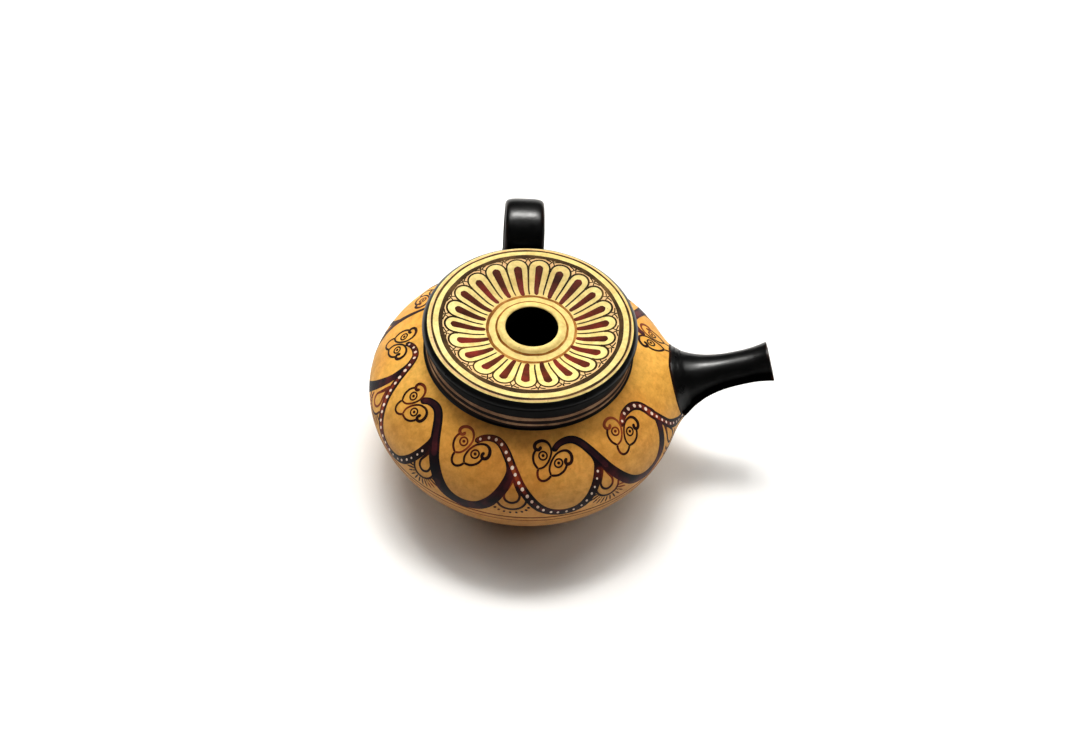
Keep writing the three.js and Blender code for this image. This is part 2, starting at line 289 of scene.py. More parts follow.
class Shader:
    """A procedural material, drawn in the part's own metres."""

    def __init__(self, name):
        self.material = bpy.data.materials.new(name)
        self.material.use_nodes = True
        self.nodes = self.material.node_tree.nodes
        self.links = self.material.node_tree.links
        self.surface = self.nodes["Principled BSDF"].inputs
        places = self.nodes.new("ShaderNodeTexCoord")
        self.place, self.facing = places.outputs["Object"], places.outputs["Normal"]

    def set(self, socket, value):
        if isinstance(value, bpy.types.NodeSocket):
            self.links.new(value, socket)
        else:
            socket.default_value = value

    def add(self, kind, inputs, **settings):
        node = self.nodes.new("ShaderNode" + kind)
        for key, value in settings.items():
            setattr(node, key, value)
        for key, value in inputs.items():
            self.set(node.inputs[key], value)
        return node

    def noise(self, scale, detail=3.0, rough=0.5, place=None, distort=0.0):
        return self.add("TexNoise", {
            "Vector": place or self.place, "Scale": scale, "Detail": detail, "Roughness": rough,
            "Distortion": distort}).outputs["Fac"]

    def split(self, vector):
        return self.add("SeparateXYZ", {0: vector}).outputs

    def turned(self):
        """Coordinates that change down the profile but hardly round the axis, for marks of the wheel."""
        x, y, z = self.split(self.place)
        flat = self.add("CombineXYZ", {0: x, 1: y, 2: 0.0})
        radius = self.add("VectorMath", {0: flat.outputs[0]}, operation="LENGTH").outputs["Value"]
        around = self.math("MULTIPLY", x, 0.04)
        return self.add("CombineXYZ", {0: radius, 1: z, 2: around}).outputs[0]

    def math(self, operation, a, b=0.0):
        return self.add("Math", {0: a, 1: b}, operation=operation).outputs[0]

    def level(self, value, low, high, out_low=0.0, out_high=1.0):
        return self.add("MapRange", {0: value, 1: low, 2: high, 3: out_low, 4: out_high}).outputs[0]

    def ramp(self, value, *stops):
        node = self.add("ValToRGB", {0: value})
        places = node.color_ramp.elements
        while len(places) < len(stops):
            places.new(0.5)
        for place, (where, colour) in zip(places, stops):
            place.position, place.color = where, (*colour, 1)
        return node.outputs[0]

    def mix(self, share, a, b, blend="MIX"):
        a, b = ((*colour, 1) if isinstance(colour, tuple) else colour for colour in (a, b))
        return self.add("Mix", {0: share, 6: a, 7: b}, data_type="RGBA", blend_type=blend).outputs[2]

    def tint(self, colour, by):
        return self.mix(1.0, colour, by, "MULTIPLY")

    def bump(self, height, strength, distance, below=None):
        node = self.add("Bump", {"Strength": strength, "Distance": distance, "Height": height})
        if below:
            self.set(node.inputs["Normal"], below)
        return node.outputs[0]

    def finish(self, colour, roughness, normal=None, specular=0.5):
        self.set(self.surface["Base Color"], colour)
        self.set(self.surface["Roughness"], roughness)
        self.set(self.surface["Specular IOR Level"], specular)
        if normal:
            self.set(self.surface["Normal"], normal)
        return self.material


# A tint that changes nothing
AS_IS = (1.0, 1.0, 1.0)


def earthenware(name, deep, middle, light, stain, stained=0.45, rough=(0.42, 0.58), low=None):
    """Burnished clay: cloudy tone, warm stains, fine grain, a few dark specks and faint marks of the wheel.

    Where "low" is given, painted shade makes the front darker and redder, and the tint in "low" is painted shade that
    darkens the clay towards the foot.
    """
    sh = Shader(name)
    colour = sh.ramp(sh.noise(24, 3, 0.55), (0.34, deep), (0.5, middle), (0.68, light))
    patch = sh.level(sh.noise(62, 5, 0.62, distort=0.6), 0.5, 0.78, 0.0, stained)
    colour = sh.mix(patch, colour, stain)
    mottle = sh.noise(330, 4, 0.6)
    colour = sh.tint(colour, sh.ramp(
        mottle, (0.34, (0.86, 0.84, 0.8)), (0.5, (0.97, 0.97, 0.97)), (0.66, (1.05, 1.07, 1.12))))
    lines = sh.noise(420, 4, 0.6, sh.turned())
    colour = sh.tint(colour, sh.ramp(lines, (0.3, (0.93, 0.92, 0.9)), (0.6, AS_IS)))
    grain = sh.noise(900, 6, 0.72)
    colour = sh.tint(colour, sh.ramp(grain, (0.32, (0.87, 0.85, 0.82)), (0.58, AS_IS)))
    if low:
        _, y, z = sh.split(sh.place)
        cloud = sh.level(sh.noise(30, 3), 0.3, 0.7, -0.004, 0.004)
        # Painted shade: the front, turned away from the lamps, is tinted darker and redder.
        front_shade = sh.level(sh.math("ADD", y, cloud), -0.015, -0.045)
        colour = sh.tint(colour, sh.ramp(front_shade, (0.0, AS_IS), (1.0, (0.93, 0.83, 0.9))))
        # Painted shade: the tint in "low" darkens the clay towards the foot.
        height = sh.level(sh.math("ADD", z, cloud), 0.022, 0.046)
        colour = sh.tint(colour, sh.ramp(height, (0.0, low), (1.0, AS_IS)))
    cells = sh.add("TexVoronoi", {"Vector": sh.place, "Scale": 330}).outputs["Distance"]
    few = sh.level(sh.noise(140, 2), 0.52, 0.66)
    specks = sh.math("MULTIPLY", sh.level(cells, 0.05, 0.11, 0.55, 0.0), few)
    colour = sh.mix(specks, colour, (0.13, 0.055, 0.02))
    normal = sh.bump(lines, 0.1, 0.0004, sh.bump(grain, 0.12, 0.00025))
    return sh.finish(colour, sh.level(sh.noise(180, 4), 0.3, 0.7, *rough), normal, specular=0.25)


def slip(name, dark, thin, worn, rough, specular):
    """Black slip: nearly opaque, brown where it is thin or rubbed, and burnished more on top than below.

    The mesh marks its edges in "wear". On the spout only the top is burnished.
    """
    sh = Shader(name)
    cloud = sh.noise(95, 5, 0.6, distort=0.4)
    colour = sh.mix(sh.level(cloud, 0.5, 0.8, 0.0, 0.55), dark, thin)
    edge = sh.add("Attribute", {}, attribute_name="wear").outputs["Fac"]
    rubbed = sh.math("MULTIPLY", edge, sh.level(sh.noise(420, 5, 0.68), 0.44, 0.62))
    colour = sh.mix(rubbed, colour, worn)
    strokes = sh.noise(700, 4, 0.6)
    normal = sh.bump(strokes, 0.07, 0.0003, sh.bump(cloud, 0.1, 0.0012))
    upward = sh.math("ADD", sh.split(sh.facing)[2], sh.level(cloud, 0.3, 0.7, -0.05, 0.05))
    upward = sh.level(upward, -0.4, 0.6)
    off_spout = sh.level(sh.split(sh.place)[0], 0.048, 0.044)
    reached = sh.math("MAXIMUM", off_spout, sh.level(upward, 0.6, 1.0))
    gloss = sh.level(sh.math("MULTIPLY", sh.math("POWER", upward, 4.0), reached), 0.0, 1.0, *specular)
    return sh.finish(colour, sh.level(sh.noise(260, 4), 0.3, 0.7, *rough), normal, gloss)


def brushed(name, dark, middle, thin, spread=(0.42, 0.56, 0.7), rough=(0.42, 0.58), specular=0.2):
    """Brush-drawn paint that varies from thick to thin along its strokes."""
    sh = Shader(name)
    loads = sh.noise(85, 4, 0.6)
    colour = sh.ramp(loads, (spread[0], dark), (spread[1], middle), (spread[2], thin))
    grain = sh.noise(1100, 5, 0.7)
    colour = sh.tint(colour, sh.ramp(grain, (0.3, (0.78, 0.76, 0.74)), (0.62, (1.08, 1.06, 1.04))))
    return sh.finish(colour, sh.level(grain, 0.3, 0.7, *rough), sh.bump(grain, 0.1, 0.0002), specular)


# Its "low" tint is painted shade towards the foot, and its front is tinted with painted shade.
CLAY = earthenware("clay", (0.71, 0.362, 0.068), (0.8, 0.44, 0.088), (0.86, 0.505, 0.12), (0.78, 0.31, 0.05),
                   low=(0.63, 0.66, 0.98))
PALE = earthenware("pale_clay", (0.74, 0.48, 0.21), (0.79, 0.55, 0.27), (0.83, 0.6, 0.32), (0.78, 0.42, 0.17))
CREAM_AND_HIGHLIGHT = earthenware("cream_slip_and_highlight", (0.78, 0.61, 0.24), (0.84, 0.7, 0.3), (0.87, 0.76, 0.36), (0.83, 0.55, 0.19), 0.3)
FOOT_CLAY = earthenware("foot_clay", (0.5, 0.25, 0.055), (0.6, 0.31, 0.07), (0.66, 0.37, 0.09), (0.55, 0.21, 0.045),
                        rough=(0.6, 0.78))
INSIDE = slip("inside_slip", (0.005, 0.005, 0.005), (0.009, 0.007, 0.006), (0.009, 0.007, 0.006),
              rough=(0.75, 0.95), specular=(0.08, 0.1))
BLACK = slip("black_slip", (0.0013, 0.0013, 0.0014), (0.003, 0.0024, 0.0021), (0.05, 0.018, 0.009),
             rough=(0.27, 0.36), specular=(0.0, 0.85))
BROWN = brushed("brown_slip", (0.01, 0.004, 0.003), (0.019, 0.007, 0.004), (0.045, 0.014, 0.006), specular=0.12)
STRIPE = brushed("bare_stripe", (0.26, 0.15, 0.085), (0.38, 0.235, 0.14), (0.48, 0.32, 0.2), specular=0.12)
LINE = brushed("dark_line", (0.02, 0.006, 0.005), (0.045, 0.01, 0.006), (0.24, 0.045, 0.014), (0.42, 0.53, 0.66))
OLIVE = brushed("olive_line", (0.03, 0.018, 0.006), (0.07, 0.04, 0.013), (0.18, 0.1, 0.028), specular=0.12)
UMBER = brushed("umber_ring", (0.05, 0.028, 0.01), (0.1, 0.056, 0.02), (0.26, 0.15, 0.055), specular=0.12)
PLAIN = brushed("dark_band", (0.006, 0.005, 0.008), (0.014, 0.006, 0.009), (0.085, 0.016, 0.02), (0.42, 0.53, 0.68))
DOTTED = brushed("dotted_band", (0.009, 0.005, 0.006), (0.022, 0.006, 0.007), (0.16, 0.024, 0.014), (0.42, 0.54, 0.66))
PURPLE_SHEEN = brushed("purple_sheen_band", (0.026, 0.008, 0.013), (0.058, 0.014, 0.02), (0.13, 0.026, 0.028), (0.38, 0.52, 0.66))
MAROON = brushed("maroon_band", (0.034, 0.008, 0.008), (0.12, 0.02, 0.014), (0.34, 0.06, 0.022), (0.38, 0.5, 0.62))
RUST = brushed("rust_line", (0.075, 0.016, 0.008), (0.19, 0.04, 0.014), (0.34, 0.085, 0.028), (0.36, 0.5, 0.64))
RED = brushed("red_core", (0.055, 0.016, 0.008), (0.115, 0.025, 0.012), (0.22, 0.03, 0.021), (0.36, 0.5, 0.66),
              specular=0.12)
ORANGE = brushed("orange_line", (0.2, 0.08, 0.016), (0.36, 0.16, 0.035), (0.54, 0.29, 0.085), specular=0.12)
WHITE = brushed("white_dot", (0.55, 0.36, 0.27), (0.78, 0.62, 0.5), (0.86, 0.76, 0.66), (0.3, 0.45, 0.65))


# Meshes


def placed(name, data):
    """An object of the scene."""
    made = bpy.data.objects.new(name, data)
    bpy.context.scene.collection.objects.link(made)
    return made


def to_object(name, verts, faces, materials, zones=None, wear=None, sharp=42, turned=False):
    """A smooth mesh. One of a turned form takes its shape as made by hand."""
    mesh = bpy.data.meshes.new(name)
    mesh.from_pydata([(thrown(v) if turned else Vector(v)) * MM for v in verts], [], faces)
    for material in materials:
        mesh.materials.append(material)
    if zones:
        mesh.polygons.foreach_set("material_index", zones)
    if wear:
        mesh.attributes.new("wear", "FLOAT", "POINT").data.foreach_set("value", wear)
    bm = bmesh.new()
    bm.from_mesh(mesh)
    bmesh.ops.recalc_face_normals(bm, faces=bm.faces)
    bm.to_mesh(mesh)
    bm.free()
    mesh.shade_smooth()
    mesh.set_sharp_from_angle(angle=radians(sharp))
    return placed(name, mesh)


def settle(piece, slot, *nodes):
    """The piece rides on the flask and stands for these CAD nodes, which are hidden. The slot is not used."""
    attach(piece, "root")
    if nodes:
        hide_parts(*nodes)


def lathe(name, profile, materials, zone=None, turned=False):
    """Closed solid of revolution. The profile closes on itself, or starts and ends on the axis."""
    verts, faces, zones, rings = [], [], [], []
    for r, z in profile:
        round_axis = turns(SIDES) if r > 1e-6 else [0.0]
        rings.append(range(len(verts), len(verts) + len(round_axis)))
        verts += [(r * cos(a), r * sin(a), z) for a in round_axis]
    pairs = list(zip(rings, rings[1:]))
    if len(rings[0]) > 1:
        pairs.append((rings[-1], rings[0]))
    for k, (a, b) in enumerate(pairs):
        for i in range(SIDES):
            j = (i + 1) % SIDES
            corners = a[i % len(a)], b[i % len(b)], b[j % len(b)], a[j % len(a)]
            # A corner on the axis counts once
            faces.append(list(dict.fromkeys(corners)))
            zones.append(zone(k) if zone else 0)
    return to_object(name, verts, faces, materials, zones, turned=turned)


class Film:
    """Paint of one colour: closed strips and dots that lie on a chart, sunk a little into it."""

    SUNK = -0.12

    def __init__(self, chart):
        self.chart, self.verts, self.faces = chart, [], []

    def stroke(self, path, width, lift, across=2, closed=False):
        """A strip along a path of (angle, length). The width is a number or one number for each point."""
        widths = width if isinstance(width, list) else [width] * len(path)
        count, start, row = len(path), len(self.verts), 2 * (across + 1)
        for i, (angle, s) in enumerate(path):
            before = path[i - 1] if i or closed else path[i]
            after = path[(i + 1) % count] if i + 1 < count or closed else path[i]
            radius = self.chart.ring(s)[0]
            dx = radius * ((after[0] - before[0] + pi) % TURN - pi)
            dy = after[1] - before[1]
            size = hypot(dx, dy) or 1.0
            for height in (lift, self.SUNK):
                for k in range(across + 1):
                    off = widths[i] * (k / across - 0.5)
                    self.verts.append(self.chart.at(angle - dy / size * off / radius, s + dx / size * off, height))
        loop = [*range(across + 1), *range(2 * across + 1, across, -1)]
        for i in range(count if closed else count - 1):
            a, b = start + i * row, start + (i + 1) % count * row
            self.faces += [(a + k, b + k, b + m, a + m) for k, m in zip(loop, loop[1:] + loop[:1])]
        if not closed:
            self.faces += [[end + k for k in loop] for end in (start, start + (count - 1) * row)]

    def brush(self, path, width, lift, across=2):
        """A strip with half-round ends. The width is a number or a function of the share of its length."""
        total, widths = along(self.chart, path), []
        for d in total:
            full = width(d / total[-1]) if callable(width) else width
            near = min(d, total[-1] - d) / (full / 2)
            widths.append(full * sqrt(max(1 - (1 - min(near, 1)) ** 2, 0.02)))
        self.stroke(path, widths, lift, across)

    def dot(self, angle, s, size, lift, long=1.0, lean=0.0, sides=14):
        """A round or long dot. The lean turns its long way from down the profile."""
        radius, start = self.chart.ring(s)[0], len(self.verts)
        for height in (lift, self.SUNK):
            for a in turns(sides):
                x, y = size / 2 * sin(a), size / 2 * long * cos(a)
                x, y = x * cos(lean) - y * sin(lean), x * sin(lean) + y * cos(lean)
                self.verts.append(self.chart.at(angle + x / radius, s + y, height))
        self.faces += [[first + i for i in range(sides)] for first in (start, start + sides)]
        self.faces += between(start, start + sides, sides)

    def band(self, s0, s1, lift):
        """A band all round between two lengths."""
        path = [(a, (s0 + s1) / 2) for a in turns(SIDES)]
        self.stroke(path, abs(s1 - s0), lift, max(2, round(abs(s1 - s0) / 0.5)), closed=True)

    def ring(self, s, width, lift, across, back=0.0):
        """A ring drawn by hand, set off its middle by so much along X and along Y."""
        path, widths = [], []
        for a in turns(SIDES):
            off = across * cos(a) + back * sin(a)
            path.append((a, s + off + 0.04 * sin(9 * a) + 0.04 * sin(14 * a + 1)))
            widths.append(width * (1 + 0.1 * sin(7 * a + 2) + 0.08 * sin(17 * a)))
        self.stroke(path, widths, lift, max(2, round(width / 0.4)), closed=True)

    def done(self, name, material, slot):
        settle(to_object(name, self.verts, self.faces, [material], sharp=60, turned=True), slot)


def along(chart, path):
    """Lengths along a path from its start, in millimetres."""
    total = [0.0]
    for (a0, s0), (a1, s1) in zip(path, path[1:]):
        total.append(total[-1] + hypot(chart.ring((s0 + s1) / 2)[0] * (a1 - a0), s1 - s0))
    return total


def even(chart, path, step):
    """The same path with points at about that step, both ends kept."""
    total = along(chart, path)
    count = max(2, round(total[-1] / step))
    out, k = [], 0
    for i in range(count + 1):
        want = total[-1] * i / count
        while k < len(total) - 2 and total[k + 1] < want:
            k += 1
        span = total[k + 1] - total[k] or 1.0
        out.append(tuple(lerp(a, b, (want - total[k]) / span) for a, b in zip(path[k], path[k + 1])))
    return out


# Clay body: one smooth shell for bowl and shoulder, pierced under the spout


def make_body():
    outer = belly_profile(0, 72)
    inner = [p for p in reversed(belly_profile(BODY_WALL, 24)) if p[1] > 9.2]
    inner = [p for p in inner if p[0] > NECK_RADIUS or p[1] < BELLY_HEIGHT]
    under = FOOT_HEIGHT - 0.1
    base = [(36.1, 3.93), (35.2, under), (20.0, under), (0.0, under)]
    rest = COLLAR_BASE + 0.2
    profile = [(0.0, 9.0), (20.0, 9.0), *inner, (NECK_RADIUS, rest), (COLLAR_RADIUS - 0.4, rest), *outer, *base]
    inside = len(inner) + 2
    shell = lathe("body", profile, [CLAY, INSIDE], zone=lambda k: int(k < inside), turned=True)
    sides = 48
    verts = [spout_point(d, SPOUT_HOLE, a) for d in (-14.0, 14.0) for a in turns(sides)]
    ends = [list(range(sides)), list(range(sides, 2 * sides))]
    cutter = to_object("cutter", verts, ends + between(0, sides, sides), [INSIDE])
    hole = shell.modifiers.new("hole", "BOOLEAN")
    hole.operation, hole.solver, hole.object = "DIFFERENCE", "EXACT", cutter
    bpy.context.view_layer.update()
    pierced = bpy.data.meshes.new_from_object(shell.evaluated_get(bpy.context.evaluated_depsgraph_get()))
    shell.modifiers.clear()
    shell.data = pierced
    bpy.data.objects.remove(cutter)
    settle(shell, "clay", "bowl", "shoulder")


def make_foot():
    top, grooves = FOOT_HEIGHT + 0.05, []
    for i in range(9):
        r = 2.0 + 2.25 * i
        grooves += [(r, 0.95), (r + 0.8, 1.18), (r + 1.5, 1.0)]
    under = [(0.0, 1.0), *grooves, (21.9, 0.95), (23.0, 0.5), (23.9, 0.08), (24.6, 0.0)]
    side = spline([(33.2, 0.0), (33.9, 0.12), (34.4, 0.6), (34.45, 1.2), (34.0, 2.3), (33.2, 3.4), (33.0, top)], 5)
    settle(lathe("foot_ring", [*under, *side, (0.0, top)], [FOOT_CLAY]), "clay", "foot")


def make_mouth():
    top = MOUTH.points
    cut = next(i for i, (r, _) in enumerate(top) if r > 13.0)
    foot = COLLAR_BASE - 0.3
    wall = [(COLLAR_RADIUS, foot), *COLLAR.points[::-3], (34.0, 62.6), (NECK_RADIUS, 62.6), (NECK_RADIUS, foot)]
    settle(lathe("collar_wall", wall, [BLACK]), "black_slip", "collar")
    under = [(34.0, 62.5), (NECK_RADIUS - 0.3, 62.5), (28.0, 61.6), (FLOOR_RADIUS, 59.1), (9.4, 59.1), (9.4, 62.9)]
    dark = len(top) - cut
    settle(lathe("plate", [*top[cut:], *under], [PALE, INSIDE], zone=lambda k: int(k >= dark), turned=True),
           "pale_clay", "mouth_plate")
    ring = [(9.45, 62.6), (9.45, 59.0), (HOLE_RADIUS, 59.0), (HOLE_RADIUS, 61.5), *top[:cut + 2], (13.2, 62.6)]
    settle(lathe("hole_boss", ring, [CREAM_AND_HIGHLIGHT, INSIDE], zone=lambda k: int(k < 4), turned=True),
           "pale_clay", "hole_ring")


def make_spout():
    """Tube from the edge of its slip over the lip and back inside to the belly, as (distance, radius, wear)."""
    edge, root_rows = 0.4, 14
    tip = SPOUT_LENGTH - edge
    lip = [(spout_radius(tip) - edge, pi / 2), (spout_radius(tip) - SPOUT_WALL + edge, 0)]
    bore = [(d, spout_radius(d) - SPOUT_WALL, 0.0) for d in spaced(tip, FLARE_FROM[0], 40)[1:]]
    inner = bore[-1][1]
    verts, wear, faces, rows = [], [], [], 0
    for angle, curve in zip(SPOUT_TURNS, FLARES):
        leaves, end = curve[0][0], slip_end(angle)
        last = crossing(curve, 0, end)
        root = [p for p in curve if p[0] > end + 0.05]
        root = [root[round(i * (len(root) - 1) / (root_rows - 1))] for i in range(root_rows)]
        rubbed = lerp(1, 0.3, smooth((cos(angle) + 0.2) / 0.8))
        line = [(last[0] - 1.3, last[1] - 0.9, 0.0), (last[0] + 0.05, last[1] - 0.02, rubbed)]
        for d, r in reversed(root):
            lift = 0.13 * smooth((leaves - d) / 2) * lerp(0.35, 1, smooth(d - end))
            line.append((d + lift, r + lift, rubbed * (1 - smooth((d - end) / 0.8))))
        line += [(d, spout_radius(d), 0.0) for d in spaced(leaves, tip, 48)[1:-1]]
        for middle, first in lip:
            line += [(tip + edge * cos(a), middle + edge * sin(a), 0.8)
                     for a in spaced(first, first - pi / 2, 5)]
        line += [*bore, (belly_along(inner, angle, 0.4), inner, 0.0)]
        rows = len(line)
        for d, r, mark in line:
            p = spout_point(d, r, angle)
            p[0] = lerp(p[0], widened(p[0], p[2]), smooth((5.5 - d) / 5))
            verts.append(p)
            wear.append(mark)
    for k in range(SPOUT_SIDES):
        faces += between(k * rows, (k + 1) % SPOUT_SIDES * rows, rows)
    settle(to_object("spout_tube", verts, faces, [BLACK], wear=wear), "black_slip", "spout")


# Handle


def strap_line():
    """Centre line as (y, z, direction of travel), from inside the shoulder over the knee into the belly."""
    line = [(STRAP_FRONT, z, pi / 2) for z in spaced(49.6, KNEE[1], 20)[:-1]]
    line += [(KNEE[0] + KNEE_RADIUS * cos(a), KNEE[1] + KNEE_RADIUS * sin(a), a - pi / 2)
             for a in spaced(pi, radians(45), 44)[:-1]]
    for i in range(140):
        a = radians(45 - i)
        y, z = BACK[0] + BACK_RADIUS * cos(a), BACK[1] + BACK_RADIUS * sin(a)
        line.append((y, z, a - pi / 2))
        if outside_belly((0, y, z), 1.6) < 0:
            break
    return line


def strap_section(sides):
    """Rounded oblong, as (share of half width, share of half thickness, wear)."""
    points = []
    for a in turns(sides):
        c, s = cos(a), sin(a)
        x = copysign(abs(c) ** 0.5, c)
        y = copysign(abs(s) ** 0.62, s)
        points.append((x, y, smooth((abs(x) - 0.8) / 0.2) * smooth((abs(y) - 0.35) / 0.4)))
    return points


def make_handle():
    line, section = strap_line(), strap_section(56)
    reach = running(line)
    verts, wear, faces, grip = [], [], [], []
    for (y, z, way), d in zip(line, reach):
        front, rear = 1 - smooth((d - 1.5) / 5), 1 - smooth((reach[-1] - d - 1.5) / 7)
        half = STRAP_WIDTH / 2 * (1 + 0.13 * front + 0.2 * rear + 0.012 * sin(d / 7))
        for x, t, mark in section:
            deep = STRAP_THICKNESS / 2 * t * (1 + (0.25 * front if t < 0 else 0.1 * front) + 0.35 * rear)
            across, out = x * half, y - sin(way) * deep - STRAP_FRONT
            verts.append((across * cos(STRAP_SKEW) + out * sin(STRAP_SKEW),
                          STRAP_FRONT + out * cos(STRAP_SKEW) - across * sin(STRAP_SKEW),
                          z + cos(way) * deep))
            wear.append(mark)
    n = len(section)
    for i in range(len(line) - 1):
        faces += between(i * n, (i + 1) * n, n)
    faces += [list(range(n)), list(range((len(line) - 1) * n, len(line) * n))]
    settle(to_object("strap", verts, faces, [BLACK], wear=wear, sharp=55), "black_slip", "handle")
    for k in range(n):
        for order in (range(len(line)), reversed(range(len(line)))):
            hit = next(i for i in order if outside_belly(verts[i * n + k]) > 0)
            grip.append(BELLY.nearest(verts[hit * n + k]))
    return grip[::2], grip[1::2]


# Black slip on the lip, at the foot of the collar and round the roots of spout and handle


def make_slip_edges(strap_ends):
    film = Film(MOUTH)
    film.band(MOUTH.length_at(35.4), MOUTH.lengths[-1], 0.05)
    film.chart = BELLY
    film.band(0.0, 0.75, 0.06)
    for end in strap_ends:
        film.stroke(end, 1.3, 0.07, across=3, closed=True)
    film.done("slip_edges", BLACK, "black_slip")
    root = []
    for angle, radius in zip(SPOUT_TURNS, SLIP_RADII):
        radius += 0.1
        root.append(BELLY.nearest(spout_point(belly_along(radius, angle), radius, angle)))
    brown, bare = Film(BELLY), Film(COLLAR)
    brown.stroke(root, 0.7, 0.07, closed=True)
    brown.chart = COLLAR
    brown.band(4.0, 9.0, 0.03)
    bare.ring(5.15, 1.3, 0.06, 0.7)
    bare.ring(7.6, 0.95, 0.06, 0.75)
    brown.done("slip_brown", BROWN, "black_slip")
    bare.done("collar_stripes", STRIPE, "pale_clay")


# Rosette on the mouth plate: tongues with red cores, between coloured rings

TONGUES = 22


def tongue_angle(k):
    """Middle of a tongue, as unevenly spaced as a hand divides a circle."""
    a = TURN * k / TONGUES
    return a + radians(0.2 - 1.4 * sin(a) - 1.2 * cos(a) - 1.2 * sin(2 * a))


def radial(angle, r0, r1):
    """Path outwards on the plate between two radii."""
    return even(MOUTH, [(angle, MOUTH.length_at(r)) for r in (r0, r1)], 0.45)


def make_rosette():
    cream_and_highlight, red, dark, orange, brown = (Film(MOUTH) for _ in range(5))
    s = MOUTH.length_at
    cream_and_highlight.band(s(12.9), s(15.2), 0.02)
    cream_and_highlight.band(s(31.4), s(34.0), 0.02)
    # The thin cream band at the lip's edge is a painted highlight.
    cream_and_highlight.band(s(34.9), s(35.4), 0.02)
    orange.ring(s(12.25), 0.8, 0.04, 0.1)
    orange.ring(s(15.25), 1.0, 0.05, 0.15, -0.2)
    brown.ring(s(30.95), 1.5, 0.06, 0.15, -0.25)
    brown.ring(s(33.95), 0.75, 0.05, 0.2, -0.25)
    # Radii at which a tongue starts, begins to round off and ends
    root, split, tip = 15.6, 25.6, 29.4
    for k in range(TONGUES):
        before, here, after = (tongue_angle(j) for j in (k - 1, k, k + 1))
        left, right = (before + here) / 2, (here + after) / 2
        wide = (right - left) * 0.96
        centre = (left + right) / 2

        def half(r):
            """Half the angle that the tongue fills at a radius: a wedge, closed by a round tip."""
            if r < split:
                return wide / 2
            return wide / 2 * sqrt(max(1 - ((r - split) / (tip - split)) ** 2, 0.0))

        path = radial(centre, root, tip - 0.05)
        radii = [MOUTH.ring(p[1])[0] for p in path]
        cream_and_highlight.stroke(path, [2 * r * half(r) + 0.05 for r in radii], 0.025, across=8)
        core = radial(centre + 0.006 * sin(5 * k), root + 0.3 * sin(4 * k), 27.0 + 0.4 * sin(3 * k))
        red.brush(core, lambda t: lerp(1.3, 3.0, t**0.8) * (1 + 0.06 * sin(2 * k + 1)), 0.06, across=4)
        dark.brush(radial(right, 16.0 + 0.3 * sin(2 * k), split + 0.6), lambda t: 0.5 + 0.2 * t, 0.055)
        radii = [lerp(split - 0.2, tip, 1 - t**2) for t in spaced(1, 0, 14)]
        arch = [(centre - half(r), s(r)) for r in radii]
        arch += [(2 * centre - a, d) for a, d in reversed(arch[:-1])]
        dark.stroke(even(MOUTH, arch, 0.35), 0.62 + 0.1 * sin(7 * k), 0.05)
        bud = [(right, s(26.3)), (right + 0.034, s(28.2)), (right, s(29.7)), (right - 0.034, s(28.2))]
        bud = [p for a, b in zip(bud, bud[1:] + bud[:1]) for p in even(MOUTH, [a, b], 0.4)[:-1]]
        dark.stroke(bud, 0.38, 0.045, closed=True)
        dark.brush(radial(right, tip, 30.4), 0.7, 0.058)
        for side in (-1, 1):
            curl = [(right + side * a, s(r)) for a, r in ((0.012, 29.3), (0.045, 29.75), (0.085, 30.05))]
            dark.brush(even(MOUTH, spline(curl, 5), 0.3), 0.42, 0.05)
    cream_and_highlight.done("rosette_cream_and_highlight", CREAM_AND_HIGHLIGHT, "pale_clay")
    red.done("rosette_cores", RED, "red_paint")
    dark.done("rosette_lines", OLIVE, "dark_paint")
    orange.done("rosette_rings", ORANGE, "orange_paint")
    brown.done("rosette_dark_rings", UMBER, "dark_paint")


# Frieze of serpents on the shoulder, alternately dotted and plain. Each is (azimuth of its head, tilt) in degrees.

SERPENTS = [(-152.7, -31), (-118.7, -25), (-83.3, -31), (-47.6, -33), (10.5, -30),
            (42.7, -28), (74.9, -31), (107.1, -29), (139.2, -27), (171.4, -21)]
# Usual gap between heads. A gap wider than the other holds the spout.
PITCH, SPOUT_GAP = 35.2, 50
# How far down from the collar heads lie, and how large they are drawn
HEAD_AT, HEAD_SCALE = 10.75, 0.965
# Serpents, by number, that are not drawn as the rest: rusty heads, pendants with rays, a lower loop on a slim neck, a
# raised neck, a narrow body, a wide pendant, and a tail that ends early
RUSTY, RAYED, LOW_LOOP, HIGH_NECK, NARROW, WIDE_DROP, SHORT = (1, 3, 7), (0, 2, 9), 8, 9, 2, 1, 7
SLIM_NECK, SHORT_SHARE = 0.32, 0.86
# How far pendants hang from the middle of their fork, in degrees
DROP_SHIFT, DROP_SHIFTS = 1.0, {0: 1.5, 8: -1.6}
# Fringe of a pendant: half width, upper and lower end, size and lengthening of a dot, and how many there are
DOTS, RAYS = (5.9, 26.8, 30.4, 0.85, 1.3, 9), (6.4, 26.0, 30.9, 0.6, 6.0, 12)
# Middle of a serpent's body: degrees past its head, and length down from the collar
ROUTE = [(1.3, 8.1), (4.6, 5.9), (9.2, 5.2), (12.9, 6.2), (16.3, 9.2), (20.2, 14.8), (23.3, 19.7), (27.3, 24.7),
         (31.0, 28.2), (35.0, 30.3), (39.5, 31.0), (44.0, 29.9), (48.0, 26.6), (51.1, 22.4), (53.1, 18.2),
         (53.9, 15.0), (53.1, 12.2), (51.7, 9.7), (49.9, 7.7)]
# The same for the serpent by the spout, which ends at its root
SPOUT_ROUTE = [(1.0, 9.4), (3.3, 7.5), (6.6, 6.4), (11.7, 6.7), (15.1, 8.5), (16.7, 11.0), (17.6, 14.1), (19.0, 17.2),
               (20.4, 20.1), (22.6, 23.6), (26.2, 26.7), (29.3, 28.9), (32.5, 30.2), (35.5, 30.5)]
